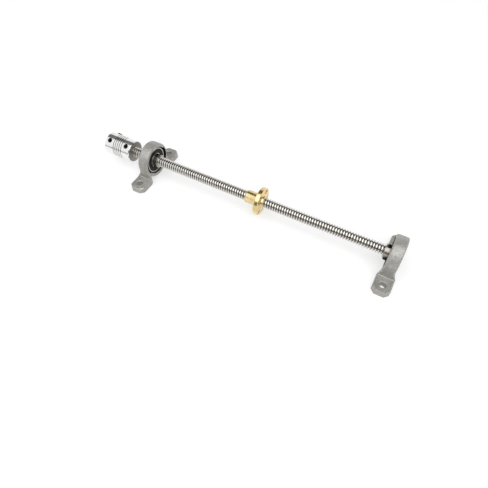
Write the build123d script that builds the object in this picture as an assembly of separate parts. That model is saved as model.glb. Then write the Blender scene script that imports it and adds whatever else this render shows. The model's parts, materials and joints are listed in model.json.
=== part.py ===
from build123d import *
import os
from math import ceil, cos, pi, radians, sin, sqrt, tan

# Millimetres. X runs along the screw, from the coupling to the far bearing, and Z is up.
# The origin lies on the mounting plane, under the middle of the drive-end pillow block.

# Lead screw: crest diameter and trapezoidal thread
screw_diameter = 8.0
thread_pitch = 2.0
thread_depth = 1.25
thread_crest_width = 0.732
thread_flank_angle = 15
thread_facets_per_turn = 8
thread_overcut = 0.4
screw_end_chamfer = 1.5
block_spacing = 206.0
drive_overhang = 30.5

# Pillow block castings
shaft_height = 15.0
block_length = 55.0
bolt_hole_inset = 6.5
bolt_hole_diameter = 4.8
bolt_hole_chamfer = 0.6
foot_width = 13.0
foot_thickness = 5.0
foot_corner = 3.0
foot_corner_radius = 1.5
foot_top_chamfer = 0.8
foot_junction_radius = 0.8
ring_diameter = 28.0
ring_width = 9.0
ring_edge_radius = 1.5
flare_height = 8.0
flare_reach = 8.0
flare_hollow = 0.7
leg_gap = 23.0
seat_width = 6.0
seat_mouth_bevel = 0.5
seat_clearance = 0.03

# Insert bearings
bearing_diameter = 22.0
race_width = 7.0
ball_diameter = 3.969
ball_count = 7
ball_circle_diameter = 15.0
groove_depth = 0.6
race_clearance = 0.08
race_edge_chamfer = 0.3
cage_thickness = 1.0
cage_rim = 0.4
cage_clearance = 0.05
seal_thickness = 0.6
seal_recess = 0.15
seal_step = 0.7
seal_lip_clearance = 0.05
bore_clearance = 0.02

# Collar on each inner ring, and the set screws that lock it to the lead screw
collar_diameter = 10.8
collar_length = 4.5
collar_screw_diameter = 3.0
collar_screw_length = 2.6
collar_screw_socket = 1.5
collar_screw_angles = (90, 210)
thread_clearance = 0.05

# Helical beam coupling
coupling_diameter = 18.0
coupling_length = 25.0
coupling_edge_chamfer = 0.5
motor_bore_diameter = 5.0
slit_width = 0.5
slit_pitch = 1.95
slit_turns = 5
slit_overcut = 1.0
slit_start_angle = -90
slit_facets_per_turn = 16
slit_end_hole_diameter = 0.7
hub_screw_diameter = 4.0
hub_screw_length = 4.0
hub_screw_socket = 2.0
hub_screw_inset = 4.3
hub_screw_angles = (123, 33)
motor_screw_lift = 0.6

# Flanged nut
nut_position = 99.2
nut_length = 15.0
nut_body_diameter = 10.2
nut_flange_diameter = 22.0
nut_flange_thickness = 3.5
nut_boss_length = 1.5
nut_hole_circle = 16.0
nut_hole_diameter = 3.5
nut_hole_count = 4
nut_hole_turn = 45
nut_edge_chamfer = 0.4
nut_clearance = 0.1

# Worked out from the sizes above
screw_radius = screw_diameter / 2
bolt_spacing = block_length - 2 * bolt_hole_inset
ring_radius = ring_diameter / 2
half_race = race_width / 2
ball_radius = ball_diameter / 2
ball_circle = ball_circle_diameter / 2
screw_end = block_spacing + half_race
coupling_centre = -drive_overhang
groove_radius = ball_radius + race_clearance
inner_shoulder = ball_circle - groove_radius + groove_depth
outer_shoulder = ball_circle + groove_radius - groove_depth
cage_half_width = ball_radius + cage_clearance + cage_rim
collar_end = half_race + collar_length
collar_screw_place = half_race + collar_length / 2


def turned(outline):
    """Revolve a closed outline of (x, radius) points about the X axis."""
    return revolve(make_face(Polyline(*outline, close=True)), Axis.X)


def tube(inner_radius, outer_radius, start, end):
    """A plain ring about the X axis between two places along it."""
    return turned([(start, inner_radius), (start, outer_radius), (end, outer_radius), (end, inner_radius)])


def around(angle, radius, along):
    """A frame on a shaft along X, with its Z pointing away from the shaft at this angle."""
    outward = (0, cos(radians(angle)), sin(radians(angle)))
    origin = (along, outward[1] * radius, outward[2] * radius)
    return Location(Plane(origin, x_dir=(1, 0, 0), z_dir=outward))


def set_screw(diameter, length, socket):
    """A headless screw that stands on its flat tip at Z = 0, with a hexagon socket on top."""
    radius = diameter / 2
    point = diameter / 5
    outline = [(0, 0), (radius - point, 0), (radius, point), (radius, length - point / 2),
               (radius - point / 2, length), (0, length)]
    body = revolve(make_face(Plane.XZ * Polyline(*outline, close=True)), Axis.Z)
    hexagon = RegularPolygon(socket / 2, 6, major_radius=False)
    return body - Pos(0, 0, length / 2) * extrude(hexagon, length)


def flat_face(*corners):
    return Face(Wire.make_polygon(corners))


def helical_cutter(section, start, start_angle, lead, turns, facets_per_turn):
    """A right-handed cutter that winds round the X axis, in flat facets from step to step.

    The section is a loop of four (offset along X, distance from X) corners.
    """
    rings = []
    for step in range(turns * facets_per_turn + 1):
        turn = step / facets_per_turn
        angle = radians(start_angle + 360 * turn)
        rings.append([(start + turn * lead + offset, reach * cos(angle), reach * sin(angle))
                      for offset, reach in section])
    faces = [flat_face(*rings[0]), flat_face(*rings[-1])]
    for here, there in zip(rings, rings[1:]):
        for corner in range(len(section)):
            faces.append(flat_face(here[corner - 1], here[corner], there[corner]))
            faces.append(flat_face(here[corner - 1], there[corner], there[corner - 1]))
    return Solid(Shell(faces))


def thread_groove():
    """The thread's groove, from a pitch before the rod to a pitch beyond it."""
    slope = tan(radians(thread_flank_angle))
    crest_gap = (thread_pitch - thread_crest_width) / 2
    bottom = (screw_radius - thread_depth) / cos(pi / thread_facets_per_turn)
    top = screw_radius + thread_overcut
    section = []
    for side, reach in ((-1, bottom), (-1, top), (1, top), (1, bottom)):
        section.append((side * (crest_gap + slope * (reach - screw_radius)), reach))
    start = coupling_centre - thread_pitch / 2
    turns = ceil((screw_end - start) / thread_pitch) + 1
    return helical_cutter(section, start, 0, thread_pitch, turns, thread_facets_per_turn)


def lead_screw():
    """The threaded rod, with both ends chamfered to just below the thread's root."""
    start = coupling_centre
    end_radius = screw_radius - screw_end_chamfer
    rod = turned([(start, 0), (start, end_radius), (start + screw_end_chamfer, screw_radius),
                  (screw_end - screw_end_chamfer, screw_radius), (screw_end, end_radius),
                  (screw_end, 0)])
    return rod - thread_groove()


def bone_outline():
    """The casting seen from above: wide feet with cut corners, drawn in to the ring between them."""
    half_width = foot_width / 2
    half_length = block_length / 2
    waist = ring_width / 2
    inner_end = ring_radius - flare_reach
    corner = half_width - foot_corner
    quarter = Line((waist, 0), (waist, inner_end))
    quarter += SagittaArc((waist, inner_end), (half_width, ring_radius), flare_hollow)
    quarter += Polyline((half_width, ring_radius), (half_width, half_length - foot_corner),
                        (corner, half_length), (0, half_length))
    half = quarter + mirror(quarter, about=Plane.YZ)
    return make_face((half + mirror(half, about=Plane.XZ)).edges())


def flare_outline():
    """The casting seen from a bolt foot: it sweeps in from the foot's width to the ring's."""
    top = foot_thickness + flare_height
    inside = ring_width / 2 - ring_edge_radius
    half_width = foot_width / 2
    half = Polyline((0, 0), (half_width, 0), (half_width, foot_thickness))
    half += SagittaArc((half_width, foot_thickness), (inside, top), flare_hollow)
    half += Line((inside, top), (0, top))
    return Plane.XZ * make_face((half + mirror(half, about=Plane.YZ)).edges())


def arch_outline():
    """The casting seen along the screw: a round head on straight sides, down to the feet's underside."""
    head = Pos(0, shaft_height) * Circle(ring_radius)
    sides = Pos(0, shaft_height / 2) * Rectangle(ring_diameter, shaft_height)
    below = Pos(0, -ring_radius) * Rectangle(2 * ring_diameter, ring_diameter)
    return Plane.YZ * (head + sides - below)


def seat_cut():
    """The ball-shaped seat for the insert, and the bevelled mouth on either side of it."""
    seat_radius = bearing_diameter / 2 + seat_clearance
    lip = sqrt(seat_radius**2 - (seat_width / 2) ** 2)
    mouth = bearing_diameter / 2 + seat_mouth_bevel
    half_width = ring_width / 2
    outside = foot_width
    seat = ThreePointArc((-seat_width / 2, lip), (0, seat_radius), (seat_width / 2, lip))
    rest = Polyline((seat_width / 2, lip), (half_width, mouth), (outside, mouth), (outside, 0),
                    (-outside, 0), (-outside, mouth), (-half_width, mouth), (-seat_width / 2, lip))
    return revolve(make_face([seat, *rest.edges()]), Axis.X)


def pillow_block_housing():
    """One die-cast housing with two bolt feet."""
    arch = extrude(arch_outline(), ring_width / 2, both=True)
    outer_edges = arch.edges().filter_by(lambda e: abs(e.center().X) > ring_width / 3)
    outer_edges = outer_edges.filter_by(lambda e: e.center().Z > foot_thickness)
    head = fillet(outer_edges, ring_edge_radius)

    plan = bone_outline()
    riser = extrude(plan, foot_thickness + flare_height)
    riser = riser & extrude(flare_outline(), ring_radius, both=True)

    foot = extrude(plan, foot_thickness)
    corners = foot.edges().filter_by(Axis.Z).filter_by(lambda e: abs(e.center().Y) > bolt_spacing / 2)
    foot = fillet(corners, foot_corner_radius)
    top_edges = foot.faces().sort_by(Axis.Z)[-1].edges()
    foot = chamfer(top_edges.filter_by(lambda e: abs(e.center().Y) > ring_radius), foot_top_chamfer)

    casting = head + riser + foot
    junction = casting.edges().filter_by(Axis.X)
    junction = junction.filter_by(lambda e: abs(abs(e.center().Y) - ring_radius) < 0.01)
    junction = junction.filter_by(lambda e: abs(e.center().Z - foot_thickness) < 0.01)
    casting = fillet(junction, foot_junction_radius)

    casting -= Pos(0, 0, shaft_height) * seat_cut()
    below_ring = Box(foot_width, leg_gap, shaft_height)
    below_ring -= Pos(0, 0, shaft_height) * Rot(0, 90, 0) * Cylinder(ring_radius, foot_width)
    casting -= below_ring
    for side in (-1, 1):
        hole = Cylinder(bolt_hole_diameter / 2, 4 * foot_thickness)
        bevel = Cone(bolt_hole_diameter / 2, bolt_hole_diameter / 2 + bolt_hole_chamfer, bolt_hole_chamfer)
        bevel_height = foot_thickness - bolt_hole_chamfer / 2
        casting -= Pos(0, side * bolt_spacing / 2, 0) * (hole + Pos(0, 0, bevel_height) * bevel)
    return casting


def outer_ring():
    """The crowned outer ring, with its ball groove and a step for a seal at each end."""
    radius = bearing_diameter / 2
    face_radius = sqrt(radius**2 - half_race**2)
    shoulder = outer_shoulder
    seat = shoulder + seal_step
    step = half_race - seal_recess - seal_thickness
    groove_half = sqrt(groove_radius**2 - (shoulder - ball_circle) ** 2)
    crown = ThreePointArc((-half_race, face_radius), (0, radius), (half_race, face_radius))
    right = Polyline((half_race, face_radius), (half_race, seat), (step, seat), (step, shoulder),
                     (groove_half, shoulder))
    groove = ThreePointArc((groove_half, shoulder), (0, ball_circle + groove_radius),
                           (-groove_half, shoulder))
    left = Polyline((-groove_half, shoulder), (-step, shoulder), (-step, seat), (-half_race, seat),
                    (-half_race, face_radius))
    return revolve(make_face([crown, *right.edges(), groove, *left.edges()]), Axis.X)


def inner_ring():
    """The inner ring, with its ball groove and the long collar that takes the set screws."""
    bore = screw_radius + bore_clearance
    shoulder = inner_shoulder
    collar = collar_diameter / 2
    bevel = race_edge_chamfer
    groove_half = sqrt(groove_radius**2 - (ball_circle - shoulder) ** 2)
    groove = ThreePointArc((-groove_half, shoulder), (0, ball_circle - groove_radius),
                           (groove_half, shoulder))
    rest = Polyline((groove_half, shoulder), (half_race, shoulder), (half_race, collar),
                    (collar_end - bevel, collar), (collar_end, collar - bevel),
                    (collar_end, bore), (-half_race, bore), (-half_race, shoulder - bevel),
                    (-half_race + bevel, shoulder), (-groove_half, shoulder))
    ring = revolve(make_face([groove, *rest.edges()]), Axis.X)
    hole_radius = collar_screw_diameter / 2 + thread_clearance
    for angle in collar_screw_angles:
        ring -= around(angle, collar, collar_screw_place) * Cylinder(hole_radius, collar)
    return ring


def collar_screws():
    """The set screws of one collar, with their tips on the lead screw's crests."""
    screw = set_screw(collar_screw_diameter, collar_screw_length, collar_screw_socket)
    return [around(angle, screw_radius, collar_screw_place) * screw for angle in collar_screw_angles]


def seal(side):
    """One rubber seal, seated in the outer ring's step, its lip just clear of the inner ring."""
    lip = inner_shoulder + seal_lip_clearance
    rim = outer_shoulder + seal_step - seal_lip_clearance / 2
    outside = half_race - seal_recess
    start, end = sorted((side * outside, side * (outside - seal_thickness)))
    return tube(lip, rim, start, end)


def ball_places():
    return [around(step * 360 / ball_count, ball_circle, 0) for step in range(ball_count)]


def balls():
    return [place * Sphere(ball_radius) for place in ball_places()]


def cage():
    """The ring that keeps the balls apart, with a round pocket for each."""
    ring = tube(ball_circle - cage_thickness / 2, ball_circle + cage_thickness / 2,
                -cage_half_width, cage_half_width)
    for place in ball_places():
        ring -= place * Sphere(ball_radius + cage_clearance)
    return ring


def slit_place(turn):
    """Where the middle of the saw cut is after this many turns: along the screw, and around it."""
    return coupling_centre + (turn - slit_turns / 2) * slit_pitch, slit_start_angle + 360 * turn


def slit_cutter():
    """The helical saw cut through the middle of the coupling."""
    outer = coupling_diameter / 2 + slit_overcut
    inner = motor_bore_diameter / 2 - slit_overcut
    side = slit_width / 2
    section = [(-side, inner), (-side, outer), (side, outer), (side, inner)]
    start, start_angle = slit_place(0)
    return helical_cutter(section, start, start_angle, slit_pitch, slit_turns, slit_facets_per_turn)


def hub_screw_places():
    """Along the screw: the middle of each hub's set screws, motor side first."""
    inset = coupling_length / 2 - hub_screw_inset
    return coupling_centre - inset, coupling_centre + inset


def coupling_body():
    """The turned body, bored for the motor shaft and the lead screw, then slit and drilled."""
    half = coupling_length / 2
    radius = coupling_diameter / 2
    bevel = coupling_edge_chamfer
    motor_bore = motor_bore_diameter / 2
    screw_bore = screw_radius + bore_clearance
    start, end = coupling_centre - half, coupling_centre + half
    bevel_in = bevel / 2
    body = turned([
        (start, motor_bore + bevel_in), (start, radius - bevel), (start + bevel, radius),
        (end - bevel, radius), (end, radius - bevel), (end, screw_bore + bevel_in),
        (end - bevel_in, screw_bore), (coupling_centre, screw_bore), (coupling_centre, motor_bore),
        (start + bevel_in, motor_bore)])
    body -= slit_cutter()
    drill_depth = 2 * (radius - motor_bore / 2)
    for place, angle in (slit_place(0), slit_place(slit_turns)):
        body -= around(angle, radius, place) * Cylinder(slit_end_hole_diameter / 2, drill_depth)
    hole_radius = hub_screw_diameter / 2 + thread_clearance
    for place in hub_screw_places():
        for angle in hub_screw_angles:
            body -= around(angle, radius, place) * Cylinder(hole_radius, drill_depth)
    return body


def hub_screws(place, tip_radii):
    """One hub's set screws, each with its tip at its own distance from the axis."""
    screw = set_screw(hub_screw_diameter, hub_screw_length, hub_screw_socket)
    return [around(angle, tip, place) * screw for angle, tip in zip(hub_screw_angles, tip_radii)]


def flanged_nut():
    """The nut: a plain body, a drilled flange and a short boss beyond it."""
    bore = screw_radius + nut_clearance
    body = nut_body_diameter / 2
    flange = nut_flange_diameter / 2
    bevel = nut_edge_chamfer
    flange_end = nut_position + nut_flange_thickness
    end = flange_end + nut_boss_length
    start = end - nut_length
    nut = turned([
        (start, bore), (start, body - bevel), (start + bevel, body), (nut_position, body),
        (nut_position, flange - bevel), (nut_position + bevel, flange), (flange_end - bevel, flange),
        (flange_end, flange - bevel), (flange_end, body), (end - bevel, body), (end, body - bevel),
        (end, bore)])
    for step in range(nut_hole_count):
        angle = radians(nut_hole_turn + step * 360 / nut_hole_count)
        y, z = nut_hole_circle / 2 * cos(angle), nut_hole_circle / 2 * sin(angle)
        hole = Pos(nut_position, y, z) * Rot(0, 90, 0) * Cylinder(nut_hole_diameter / 2, nut_length)
        nut -= hole
    return nut


def write(name, *shapes):
    """Save one node: a single solid, or a group of like solids."""
    solids = [solid for shape in shapes for solid in shape.solids()]
    node = solids[0] if len(solids) == 1 else Compound(solids)
    export_step(node, "parts/" + name + ".step")


os.makedirs("parts", exist_ok=True)
axis_height = Pos(0, 0, shaft_height)
write("lead_screw", axis_height * lead_screw())
write("flanged_nut", axis_height * flanged_nut())
write("coupling_body", axis_height * coupling_body())

screw_tip = screw_radius + bore_clearance
hub_screw_top = coupling_diameter / 2 + motor_screw_lift
lifted_tip = hub_screw_top - hub_screw_length
motor_place, screw_place = hub_screw_places()
write("coupling_motor_set_screws", *(axis_height * s for s in hub_screws(motor_place, (screw_tip, lifted_tip))))
write("coupling_screw_set_screws", *(axis_height * s for s in hub_screws(screw_place, (screw_tip, screw_tip))))

for end_name, along, facing in (("drive", 0, 1), ("idle", block_spacing, -1)):
    pieces = {
        "outer_ring": [outer_ring()],
        "inner_ring": [inner_ring()],
        "collar_screws": collar_screws(),
        "balls": balls(),
        "cage": [cage()],
        "seal_inboard": [seal(1)],
        "seal_outboard": [seal(-1)],
    }
    place = Pos(along, 0, shaft_height)
    for piece_name, shapes in pieces.items():
        if facing < 0:
            shapes = [mirror(shape, about=Plane.YZ) for shape in shapes]
        write(end_name + "_" + piece_name, *(place * shape for shape in shapes))
    write(end_name + "_housing", Pos(along, 0, 0) * pillow_block_housing())
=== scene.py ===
import bpy
import json
from math import cos, pi, radians, sin, tan
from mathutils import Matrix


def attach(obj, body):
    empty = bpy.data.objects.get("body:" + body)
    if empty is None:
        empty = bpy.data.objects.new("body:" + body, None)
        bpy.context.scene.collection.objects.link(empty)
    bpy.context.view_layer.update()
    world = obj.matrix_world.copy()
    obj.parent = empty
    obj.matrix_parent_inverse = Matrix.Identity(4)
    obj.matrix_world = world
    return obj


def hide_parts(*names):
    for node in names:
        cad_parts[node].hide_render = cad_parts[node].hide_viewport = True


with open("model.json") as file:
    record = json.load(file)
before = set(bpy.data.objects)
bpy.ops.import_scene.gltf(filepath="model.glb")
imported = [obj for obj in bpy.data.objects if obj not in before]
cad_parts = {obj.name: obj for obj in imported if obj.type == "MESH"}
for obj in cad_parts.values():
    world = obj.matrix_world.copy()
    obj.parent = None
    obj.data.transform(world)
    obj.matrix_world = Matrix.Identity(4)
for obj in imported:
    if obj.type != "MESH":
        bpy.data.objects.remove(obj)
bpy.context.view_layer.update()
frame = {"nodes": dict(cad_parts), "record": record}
mm = 0.001
axisHeight = 15 * mm  # the screw's centre line above the mounting plane
# pillow blocks: name, place along X in millimetres, and the side that faces the other block
blocks = (("drive", 0, 1), ("idle", 206, -1))
print("frame loaded")


def linear(hexColour):
    channels = [int(hexColour[i:i + 2], 16) / 255 for i in (1, 3, 5)]
    return [c / 12.92 if c <= 0.04045 else ((c + 0.055) / 1.055) ** 2.4 for c in channels] + [1]


def selectOnly(piece):
    if bpy.context.object and bpy.context.object.mode != "OBJECT":
        bpy.ops.object.mode_set(mode="OBJECT")
    bpy.ops.object.select_all(action="DESELECT")
    piece.select_set(True)
    bpy.context.view_layer.objects.active = piece


def whileEditing(piece, work):
    selectOnly(piece)
    bpy.ops.object.mode_set(mode="EDIT")
    bpy.ops.mesh.select_all(action="SELECT")
    work()
    bpy.ops.object.mode_set(mode="OBJECT")


def applyModifier(piece, kind, **settings):
    modifier = piece.modifiers.new(kind.lower(), kind)
    for name, value in settings.items():
        setattr(modifier, name, value)
    selectOnly(piece)
    bpy.ops.object.modifier_apply(modifier=modifier.name)


def traceProfile(name, points):
    # a small plane merged to one vertex, which is then pulled out from point to point
    bpy.ops.object.select_all(action="DESELECT")
    bpy.ops.mesh.primitive_plane_add(size=mm, location=(0, 0, 0))
    piece = bpy.context.object
    piece.name = name

    def draw():
        bpy.ops.mesh.merge(type="CENTER")
        bpy.ops.transform.translate(value=(points[0][0], points[0][1], 0))
        for (x0, y0), (x1, y1) in zip(points, points[1:]):
            bpy.ops.mesh.extrude_region_move(
                TRANSFORM_OT_translate={"value": (x1 - x0, y1 - y0, 0)})

    whileEditing(piece, draw)
    return piece


def tidyShell(piece, gap=0.002 * mm):
    def work():
        bpy.ops.mesh.remove_doubles(threshold=gap)
        bpy.ops.mesh.normals_make_consistent(inside=False)
    whileEditing(piece, work)


def turnOnLathe(piece, steps, turns=1, lead=0):
    # turned about X; a lead for each turn makes it a thread
    applyModifier(piece, "SCREW", axis="X", angle=2 * pi, steps=steps, render_steps=steps,
                  screw_offset=lead, iterations=turns, use_merge_vertices=lead == 0,
                  merge_threshold=0.001 * mm, use_normal_calculate=False)
    tidyShell(piece)


def cutOff(piece, place, direction, **side):
    whileEditing(piece, lambda: bpy.ops.mesh.bisect(
        plane_co=place, plane_no=direction, use_fill=True, threshold=1e-7, **side))


def cutAway(piece, tool):
    applyModifier(piece, "BOOLEAN", operation="DIFFERENCE", solver="EXACT", object=tool)
    bpy.data.objects.remove(tool)


def moveTo(piece, along):
    whileEditing(piece, lambda: bpy.ops.transform.translate(value=(along, 0, axisHeight)))


def smoothFaces(piece, degrees):
    selectOnly(piece)
    bpy.ops.object.shade_smooth_by_angle(angle=radians(degrees))


def copyOf(piece, name):
    copied = bpy.data.objects.new(name, piece.data.copy())
    bpy.context.scene.collection.objects.link(copied)
    return copied


def standFor(piece, node, body):
    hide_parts(node)
    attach(piece, body)


camera = {"place": (0.19067, -0.19519, 0.24877), "turn": (36.573, -0.125, 28.246),
          "lens": 30.403, "sensor": 36, "nearest": 0.005}

eyeData = bpy.data.cameras.new("camera")
eyeData.lens = camera["lens"]
eyeData.sensor_width = camera["sensor"]
eyeData.clip_start = camera["nearest"]
eye = bpy.data.objects.new("camera", eyeData)
eye.location = camera["place"]
eye.rotation_euler = [radians(a) for a in camera["turn"]]
scene = bpy.context.scene
scene.collection.objects.link(eye)
scene.camera = eye
scene.view_settings.view_transform = "Standard"
print("camera set")

# trapezoidal thread, millimetres: radii at crest and root, the profile along the axis, and the
# radius from which the crests get no painted groove shade
thread = {"crest": 4.0, "root": 2.75, "crestWidth": 0.732, "pitch": 2.0, "flank": 15,
          "eased": 0.07, "steps": 40, "start": -30.5, "end": 209.5, "endCone": 1.5,
          "unshadedFrom": 3.9}


def threadOutline(crest, root, crestWidth, edge):
    # one pitch of the profile, from mid-groove to mid-groove; each edge is eased by a short facet
    rise = crestWidth / 2 + (crest - root) * tan(radians(thread["flank"]))
    half = thread["pitch"] / 2
    along, down, inwards = edge * 0.25, edge * 0.9, edge * 0.8
    left = [(-half, root), (-rise - edge, root), (-rise + along, root + down),
            (-crestWidth / 2 - along, crest - down), (-crestWidth / 2 + inwards, crest)]
    right = [(-x, y) for x, y in reversed(left)]
    return [(x * mm, y * mm) for x, y in left + right]


def threadedRod(name, outline, start, end, steps):
    # swept past both ends in step with the lead screw's thread, then cut off square
    before = int((start - thread["start"]) // thread["pitch"]) - 1
    turns = round((end - start) / thread["pitch"]) + 4
    first = thread["start"] + before * thread["pitch"]
    piece = traceProfile(name, [(x + first * mm, y) for x, y in outline])
    turnOnLathe(piece, steps, turns, thread["pitch"] * mm)
    cutOff(piece, (start * mm, 0, 0), (1, 0, 0), clear_inner=True)
    cutOff(piece, (end * mm, 0, 0), (1, 0, 0), clear_outer=True)
    tidyShell(piece)
    return piece


rod = threadedRod(
    "lead_screw_thread",
    threadOutline(thread["crest"], thread["root"], thread["crestWidth"], thread["eased"]),
    thread["start"], thread["end"], thread["steps"])
for vertex in rod.data.vertices:  # both ends are chamfered to just below the root
    x, y, z = vertex.co
    inside = min(x - thread["start"] * mm, thread["end"] * mm - x)
    allowed = (thread["crest"] - thread["endCone"]) * mm + inside
    radius = (y * y + z * z) ** 0.5
    if inside < thread["endCone"] * mm and radius > allowed:
        vertex.co.y *= allowed / radius
        vertex.co.z *= allowed / radius
moveTo(rod, 0)
smoothFaces(rod, 35)
standFor(rod, "lead_screw", "screw")
print("thread rolled,", len(rod.data.polygons), "faces")

# flanged nut, millimetres: it screws on the rod's own thread with a little play
nut = {"flangeAt": 99.2, "flangeWidth": 3.5, "boss": 1.5, "length": 15, "body": 5.1, "flange": 11,
       "bevel": 0.4, "holeRadius": 1.75, "holeCircle": 8, "holes": 4, "crest": 4.1, "root": 3.0,
       "crestWidth": 0.74, "eased": 0.05, "tapBeyond": 3, "mouth": 4.6, "edge": 0.12,
       "steps": 96, "holeSteps": 40, "mouthSteps": 64}


def nutOutline(start, end):
    body, flange, bevel = nut["body"], nut["flange"], nut["bevel"]
    flangeStart, flangeEnd = nut["flangeAt"], nut["flangeAt"] + nut["flangeWidth"]
    points = [(start, 0), (start, body - bevel), (start + bevel, body), (flangeStart, body),
              (flangeStart, flange - bevel), (flangeStart + bevel, flange),
              (flangeEnd - bevel, flange), (flangeEnd, flange - bevel), (flangeEnd, body),
              (end - bevel, body), (end, body - bevel), (end, 0)]
    return [(x * mm, y * mm) for x, y in points]


nutEnd = nut["flangeAt"] + nut["flangeWidth"] + nut["boss"]
nutStart = nutEnd - nut["length"]
flangedNut = traceProfile("flanged_nut_turned", nutOutline(nutStart, nutEnd))
turnOnLathe(flangedNut, nut["steps"])
for step in range(nut["holes"]):
    angle = pi / 4 + step * 2 * pi / nut["holes"]
    bpy.ops.mesh.primitive_cylinder_add(
        vertices=nut["holeSteps"], radius=nut["holeRadius"] * mm, depth=nut["length"] * mm,
        rotation=(0, pi / 2, 0),
        location=(nut["flangeAt"] * mm, nut["holeCircle"] * mm * cos(angle),
                  nut["holeCircle"] * mm * sin(angle)))
    cutAway(flangedNut, bpy.context.object)
applyModifier(flangedNut, "BEVEL", width=nut["edge"] * mm, segments=2, limit_method="ANGLE",
              angle_limit=radians(40))
tap = threadedRod(
    "nut_tap", threadOutline(nut["crest"], nut["root"], nut["crestWidth"], nut["eased"]),
    nutStart - nut["tapBeyond"], nutEnd + nut["tapBeyond"], thread["steps"])
cutAway(flangedNut, tap)
for place, turned in ((nutStart, 0.5), (nutEnd, -0.5)):  # lead-in cones at the thread's mouths
    bpy.ops.mesh.primitive_cone_add(
        vertices=nut["mouthSteps"], radius1=nut["mouth"] * mm, radius2=0, depth=nut["mouth"] * mm,
        rotation=(0, turned * pi, 0), location=((place + turned * nut["mouth"]) * mm, 0, 0))
    cutAway(flangedNut, bpy.context.object)
tidyShell(flangedNut, 0.001 * mm)
moveTo(flangedNut, 0)
smoothFaces(flangedNut, 35)
standFor(flangedNut, "flanged_nut", "nut")
print("nut cut,", len(flangedNut.data.polygons), "faces")

# bearing seal, millimetres: radii at lip and rim, distances from the bearing's middle, and the
# ridges of its face as (depth below the face, distance from the lip or from the rim)
seal = {"lip": 6.086, "rim": 9.639, "inside": 2.75, "outside": 3.35, "steps": 96,
        "fromLip": [(0.2, 0), (0.08, 0.14), (0.08, 0.5), (0.25, 0.62), (0.25, 0.95), (0.06, 1.15)],
        "fromRim": [(0.06, 1.15), (0.22, 1.0), (0.22, 0.7), (0, 0.5), (0, 0.12), (0.12, 0)]}


def sealOutline():
    lip, rim, back, front = seal["lip"], seal["rim"], seal["inside"], seal["outside"]
    points = ([(back, lip)] + [(front - depth, lip + out) for depth, out in seal["fromLip"]]
              + [(front - depth, rim - out) for depth, out in seal["fromRim"]]
              + [(back, rim), (back, lip)])
    return [(x * mm, y * mm) for x, y in points]


turnedSeal = traceProfile("seal_master", sealOutline())
turnOnLathe(turnedSeal, seal["steps"])
smoothFaces(turnedSeal, 40)
seals = []
for end, middle, inboard in blocks:
    for side, outwards in (("inboard", inboard), ("outboard", -inboard)):
        piece = copyOf(turnedSeal, end + "_seal_moulded_" + side)
        if outwards < 0:
            whileEditing(piece, lambda: bpy.ops.transform.rotate(
                value=pi, orient_axis="Z", center_override=(0, 0, 0)))
        moveTo(piece, middle * mm)
        standFor(piece, end + "_seal_" + side, "base")
        seals.append(piece)
bpy.data.objects.remove(turnedSeal)
print("seals moulded")

# pillow block housing, millimetres: two slots beside the seat let the insert bearing in
# sideways; surfaces this near the shaft's line and the block's middle get a dark painted shade
housing = {"slotRadius": 12.5, "slotHalfHeight": 5.8, "slotLength": 5.0, "slotSteps": 96,
           "shadeRadius": 12.6, "shadeReach": 4.4}
castings = []
for end, middle, side in blocks:
    casting = copyOf(frame["nodes"][end + "_housing"], end + "_housing_slotted")
    selectOnly(casting)
    bpy.ops.mesh.customdata_custom_splitnormals_clear()
    tidyShell(casting, 0.001 * mm)
    bpy.ops.object.select_all(action="DESELECT")
    bpy.ops.mesh.primitive_cylinder_add(
        vertices=housing["slotSteps"], radius=housing["slotRadius"] * mm,
        depth=housing["slotLength"] * mm, rotation=(0, pi / 2, 0),
        location=((middle + side * housing["slotLength"] / 2) * mm, 0, axisHeight))
    slot = bpy.context.object
    bpy.ops.object.transform_apply(location=True, rotation=True, scale=True)
    for up in (1, -1):
        cutOff(slot, (0, 0, axisHeight + up * housing["slotHalfHeight"] * mm), (0, 0, up),
               clear_outer=True)
    cutAway(casting, slot)
    smoothFaces(casting, 30)
    standFor(casting, end + "_housing", "base")
    castings.append(casting)
print("loading slots cut")


def addNode(tree, kind, inputs={}, **settings):
    made = tree.nodes.new(kind)
    for name, value in settings.items():
        setattr(made, name, value)
    for socket, value in inputs.items():
        if isinstance(value, bpy.types.NodeSocket):
            tree.links.new(value, made.inputs[socket])
        else:
            made.inputs[socket].default_value = value
    return made


def newMaterial(name):
    material = bpy.data.materials.new(name)
    material.use_nodes = True
    material.node_tree.nodes.clear()
    return material, material.node_tree


def finish(tree, sockets):
    shader = addNode(tree, "ShaderNodeBsdfPrincipled", sockets)
    addNode(tree, "ShaderNodeOutputMaterial", {"Surface": shader.outputs["BSDF"]})


def maths(tree, operation, *values):
    return addNode(tree, "ShaderNodeMath", dict(enumerate(values)),
                   operation=operation).outputs["Value"]


def spread(tree, value, low, high, start=0.3, stop=0.7):
    # noise stays mostly between 0.3 and 0.7, so that is what is spread from low to high
    made = addNode(tree, "ShaderNodeMapRange", {"Value": value, "From Min": start,
                                                "From Max": stop, "To Min": low, "To Max": high})
    return made.outputs["Result"]


def colourBetween(tree, factor, darker, lighter, low=0.35, high=0.65):
    ramp = addNode(tree, "ShaderNodeValToRGB", {"Fac": factor})
    for element, place, colour in zip(ramp.color_ramp.elements, (low, high), (darker, lighter)):
        element.position = place
        element.color = linear(colour)
    return ramp.outputs["Color"]


def coverWith(tree, mask, under, colour):
    return addNode(tree, "ShaderNodeMix", {"Factor": mask, "A": under, "B": linear(colour)},
                   data_type="RGBA").outputs["Result"]


def objectPlace(tree):
    return addNode(tree, "ShaderNodeTexCoord").outputs["Object"]


def fromShaftAxis(tree):
    # object position measured from the screw's centre line
    return addNode(tree, "ShaderNodeMapping", {
        "Vector": objectPlace(tree), "Location": (0, 0, -axisHeight)}).outputs["Vector"]


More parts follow.
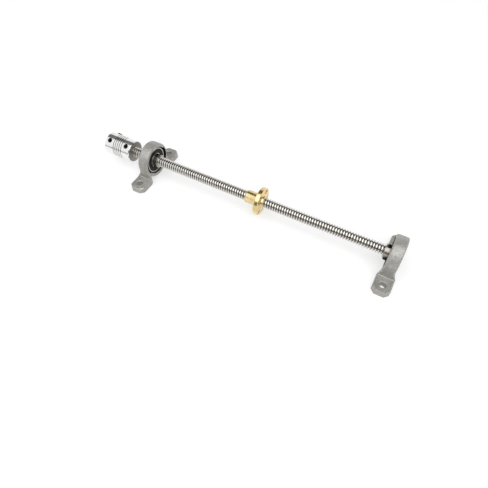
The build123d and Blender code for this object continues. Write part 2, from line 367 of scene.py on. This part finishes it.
def fromAxis(tree, place):
    # distance from the screw's centre line
    across = addNode(tree, "ShaderNodeVectorMath", {0: place, 1: (0, 1, 1)}, operation="MULTIPLY")
    return addNode(tree, "ShaderNodeVectorMath", {0: across.outputs["Vector"]},
                   operation="LENGTH").outputs["Value"]


def alongX(tree, place):
    return addNode(tree, "ShaderNodeSeparateXYZ", {"Vector": place}).outputs["X"]


def noise(tree, place, millimetres, detail, roughness=0.5):
    # cells of this many millimetres, in object coordinates of metres
    return addNode(tree, "ShaderNodeTexNoise", {
        "Vector": place, "Scale": 1000 / millimetres, "Detail": detail,
        "Roughness": roughness}).outputs["Fac"]


def ringNoise(tree, place, millimetres):
    # noise drawn out round the axis into tool marks, coarser than real ones, which wouldn't show
    stretched = addNode(tree, "ShaderNodeMapping", {"Vector": place, "Scale": (1, 0.02, 0.02)})
    return noise(tree, stretched.outputs["Vector"], millimetres, 2)


def bump(tree, height, strength, millimetres):
    return addNode(tree, "ShaderNodeBump", {"Height": height, "Strength": strength,
                                            "Distance": millimetres * mm}).outputs["Normal"]


def rolledStainlessSteel():
    # bright rolled stainless: glossy crests with fine rolling marks, grooves darkened toward the
    # root as painted shade
    material, tree = newMaterial("rolledStainlessSteel")
    place = fromShaftAxis(tree)
    # colour darkens from crest to root: painted shade in the grooves
    depth = spread(tree, fromAxis(tree, place), 0, 1, thread["root"] * mm,
                   thread["unshadedFrom"] * mm)
    finish(tree, {
        "Base Color": colourBetween(tree, depth, "#827D74", "#D8D6D2", 0.1, 0.9), "Metallic": 1,
        "Roughness": spread(tree, noise(tree, place, 3, 3), 0.16, 0.3),
        "Normal": bump(tree, noise(tree, place, 0.15, 2), 0.12, 0.02)})
    return material


# beam coupling, millimetres: middle and half length of the slit part, the radius under which a
# surface there is inside a slit and gets a dark painted shade, and the radii between which the
# turned outside begins
coupling = {"middle": -30.5, "slitReach": 6, "slitMouth": 8.95, "insideTo": 8.45,
            "outsideFrom": 8.55}


def turnedAluminium():
    # turned aluminium: a clean silvery outside with fine rings; end faces duller; slit walls
    # darkened as painted shade
    material, tree = newMaterial("turnedAluminium")
    place = fromShaftAxis(tree)
    radius = fromAxis(tree, place)
    outside = spread(tree, radius, 0, 1, coupling["insideTo"] * mm, coupling["outsideFrom"] * mm)
    faces = colourBetween(tree, outside, "#AAA8A0", "#EDEDEC", 0.05, 0.95)
    # slit walls get a dark painted shade
    slitPart = maths(tree, "COMPARE", alongX(tree, place), coupling["middle"] * mm,
                     coupling["slitReach"] * mm)
    buried = maths(tree, "LESS_THAN", radius, coupling["slitMouth"] * mm)
    slitShade = maths(tree, "MULTIPLY", slitPart, buried)
    polish = spread(tree, noise(tree, place, 5, 2), 0.14, 0.22)
    finish(tree, {
        "Base Color": coverWith(tree, slitShade, faces, "#5E5B56"), "Metallic": 1,
        "Roughness": spread(tree, outside, 0.45, polish, 0, 1),
        "Normal": bump(tree, ringNoise(tree, place, 0.12), 0.15, 0.02)})
    return material


def turnedBrass():
    # turned brass: warm yellow, rings from the tool, slightly deeper where it has tarnished
    material, tree = newMaterial("turnedBrass")
    place = fromShaftAxis(tree)
    tarnish = noise(tree, place, 4, 4)
    finish(tree, {
        "Base Color": colourBetween(tree, tarnish, "#DBC188", "#ECD9A8"), "Metallic": 1,
        "Roughness": spread(tree, tarnish, 0.28, 0.18),
        "Normal": bump(tree, ringNoise(tree, place, 0.12), 0.15, 0.02)})
    return material


def tumbledZinc():
    # bare zinc die casting, tumbled: dull neutral grey, pebbled by the stones and faintly
    # cloudy, with a dark painted shade in the bearing's seat and the slots beside it
    material, tree = newMaterial("tumbledZinc")
    place = objectPlace(tree)
    grain = noise(tree, place, 0.5, 3, 0.6)
    pebbles = noise(tree, place, 1.2, 2)
    clouds = noise(tree, place, 7, 2)
    skin = addNode(tree, "ShaderNodeMix", {"Factor": 0.35, "A": grain, "B": pebbles})
    tint = addNode(tree, "ShaderNodeMix", {"Factor": 0.2, "A": skin.outputs["Result"],
                                           "B": clouds})
    bare = colourBetween(tree, tint.outputs["Result"], "#93918C", "#C2C0BB", 0.4, 0.6)
    centred = fromShaftAxis(tree)
    along = alongX(tree, centred)
    # seat and slots darkened: painted shade
    near = maths(tree, "LESS_THAN", fromAxis(tree, centred), housing["shadeRadius"] * mm)
    seats = [maths(tree, "COMPARE", along, middle * mm, housing["shadeReach"] * mm)
             for end, middle, side in blocks]
    seatShade = maths(tree, "MULTIPLY", maths(tree, "MAXIMUM", *seats), near)
    finish(tree, {
        "Base Color": coverWith(tree, seatShade, bare, "#2B2926"), "Metallic": 0.55,
        "Roughness": spread(tree, clouds, 0.42, 0.52),
        "Normal": bump(tree, skin.outputs["Result"], 0.8, 0.15)})
    return material


def groundBearingSteel():
    # ground chrome steel: smooth clean grey, with fine grinding lines round the ring
    material, tree = newMaterial("groundBearingSteel")
    lines = ringNoise(tree, fromShaftAxis(tree), 0.1)
    finish(tree, {
        "Base Color": linear("#B5B4B1"), "Metallic": 1, "Roughness": spread(tree, lines, 0.2, 0.32),
        "Normal": bump(tree, lines, 0.1, 0.01)})
    return material


def shadedRingSteel():
    # inner rings: ground bearing steel, mottled, in a darker and browner copy that is painted shade
    material, tree = newMaterial("shadedRingSteel")
    place = fromShaftAxis(tree)
    ringMottle = noise(tree, place, 1.5, 3)
    finish(tree, {
        "Base Color": colourBetween(tree, ringMottle, "#9A958D", "#B6B2AB"), "Metallic": 1,
        "Roughness": spread(tree, ringMottle, 0.24, 0.36),
        "Normal": bump(tree, ringNoise(tree, place, 0.1), 0.1, 0.01)})
    return material


def sealRubber():
    # black nitrile seal: matt, faintly mottled, with a soft sheen
    material, tree = newMaterial("sealRubber")
    mottle = noise(tree, objectPlace(tree), 0.4, 3)
    finish(tree, {
        "Base Color": colourBetween(tree, mottle, "#121212", "#201F1E"), "Roughness": 0.62,
        "Specular IOR Level": 0.3, "Normal": bump(tree, mottle, 0.2, 0.03)})
    return material


def blackOxideSteel():
    # black-oxide set screws: deep black with a low steel gloss
    material, tree = newMaterial("blackOxideSteel")
    wear = noise(tree, objectPlace(tree), 0.5, 3)
    finish(tree, {
        "Base Color": colourBetween(tree, wear, "#101010", "#262627"), "Metallic": 0.5,
        "Roughness": spread(tree, wear, 0.32, 0.48)})
    return material


def mouldedNylon():
    # natural nylon cage: milky cream with a soft satin surface
    material, tree = newMaterial("mouldedNylon")
    cloud = noise(tree, objectPlace(tree), 1.5, 3)
    finish(tree, {
        "Base Color": colourBetween(tree, cloud, "#D9D2C0", "#EDE8DA"), "Roughness": 0.4})
    return material


def paint(pieces, material):
    for piece in pieces:
        piece.data.materials.clear()
        piece.data.materials.append(material)


finishes = {"stainless_steel": rolledStainlessSteel(), "nut_brass": turnedBrass(),
            "coupling_aluminium": turnedAluminium(), "zinc_casting": tumbledZinc(),
            "bearing_steel": groundBearingSteel(), "cage_polymer": mouldedNylon(),
            "seal_rubber": sealRubber(), "black_oxide": blackOxideSteel()}
finishes["ball_steel"] = finishes["bearing_steel"]
for part in frame["record"]["subparts"]:
    paint([frame["nodes"][part["node"]]], finishes[part["material_slot"]])
# inner rings get the darker copy of the bearing steel: painted shade
paint([frame["nodes"][end + "_inner_ring"] for end, middle, side in blocks], shadedRingSteel())
paint([rod], finishes["stainless_steel"])
paint([flangedNut], finishes["nut_brass"])
paint(seals, finishes["seal_rubber"])
paint(castings, finishes["zinc_casting"])
print("materials made")

# photo studio, metres: white paper floor, a softbox over the front, grey flags to be mirrored
studio = {"floorSize": 3.0, "floorMiddle": 0.09, "floorTone": 0.55, "floorMottle": 0.01,
          "floorLift": 0.55, "skyDim": 0.52, "boxAt": (0.4, -0.44, 0.97), "boxTurn": 24.4,
          "boxLength": 1.9, "boxWidth": 1.4, "boxPower": 9.9}


def seenRays(tree):
    # 1 for rays from the camera, mirrored or let through; 0 for those that light a surface
    ray = addNode(tree, "ShaderNodeLightPath").outputs
    shown = maths(tree, "MAXIMUM", ray["Is Camera Ray"], ray["Is Glossy Ray"])
    return maths(tree, "MAXIMUM", shown, ray["Is Transmission Ray"])


bpy.ops.object.select_all(action="DESELECT")
bpy.ops.mesh.primitive_plane_add(size=studio["floorSize"],
                                 location=(studio["floorMiddle"], 0, -0.02 * mm))
floor = bpy.context.object
floor.name = "paper_floor"
paper, tree = newMaterial("whitePaper")
tone, mottle = studio["floorTone"], studio["floorMottle"]
fibre = noise(tree, objectPlace(tree), 8, 2)
finish(tree, {
    "Base Color": spread(tree, fibre, tone - mottle, tone + mottle, 0, 1), "Roughness": 0.9,
    "Specular IOR Level": 0.1, "Emission Color": (1, 1, 1, 1),
    "Emission Strength": maths(tree, "MULTIPLY", seenRays(tree), studio["floorLift"])})
paint([floor], paper)

# grey felt: soft and matt, paler towards the coupling's end
felt, tree = newMaterial("greyFelt")
nap = colourBetween(tree, noise(tree, objectPlace(tree), 2, 3), "#747474", "#808080")
paler = spread(tree, alongX(tree, objectPlace(tree)), 0, 1, -0.3, -0.42)
finish(tree, {
    "Base Color": coverWith(tree, paler, nap, "#A6A6A6"), "Roughness": 1, "Specular IOR Level": 0})

# each flag: its name and its four corners
flags = [("back_flag", [(-1.1, -0.07, 0.62), (1.3, 0.25, 0.62),
                        (-1.1, 0.5, 0.47), (1.3, 0.55, 0.46)]),
         ("low_flag", [(-0.4, -0.1, 0.0), (-0.05, -0.1, 0.0),
                       (-0.4, -0.1, 0.016), (-0.05, -0.1, 0.016)]),
         ("front_flag", [(-0.32, -0.75, 0.0), (1.3, -0.75, 0.0),
                         (-0.32, -0.72, 0.5), (1.3, -0.72, 0.5)])]
for name, corners in flags:
    bpy.ops.object.select_all(action="DESELECT")
    bpy.ops.mesh.primitive_plane_add(size=1, location=(0, 0, 0))
    flag = bpy.context.object
    flag.name = name
    for vertex, corner in zip(flag.data.vertices, corners):
        vertex.co = corner
    flag.visible_camera = flag.visible_diffuse = flag.visible_shadow = False
    paint([flag], felt)

world = bpy.data.worlds.new("paleStudio")
scene.world = world
world.use_nodes = True
tree = world.node_tree
tree.nodes.clear()
sky = addNode(tree, "ShaderNodeBackground", {
    "Color": (1, 1, 1, 1), "Strength": spread(tree, seenRays(tree), studio["skyDim"], 1, 0, 1)})
addNode(tree, "ShaderNodeOutputWorld", {"Surface": sky.outputs["Background"]})

boxData = bpy.data.lights.new("softbox", "AREA")
boxData.shape = "RECTANGLE"
boxData.size = studio["boxLength"]
boxData.size_y = studio["boxWidth"]
boxData.energy = studio["boxPower"]
softbox = bpy.data.objects.new("softbox", boxData)
softbox.location = studio["boxAt"]
softbox.rotation_euler = (radians(studio["boxTurn"]), 0, 0)
scene.collection.objects.link(softbox)
print("studio lit")
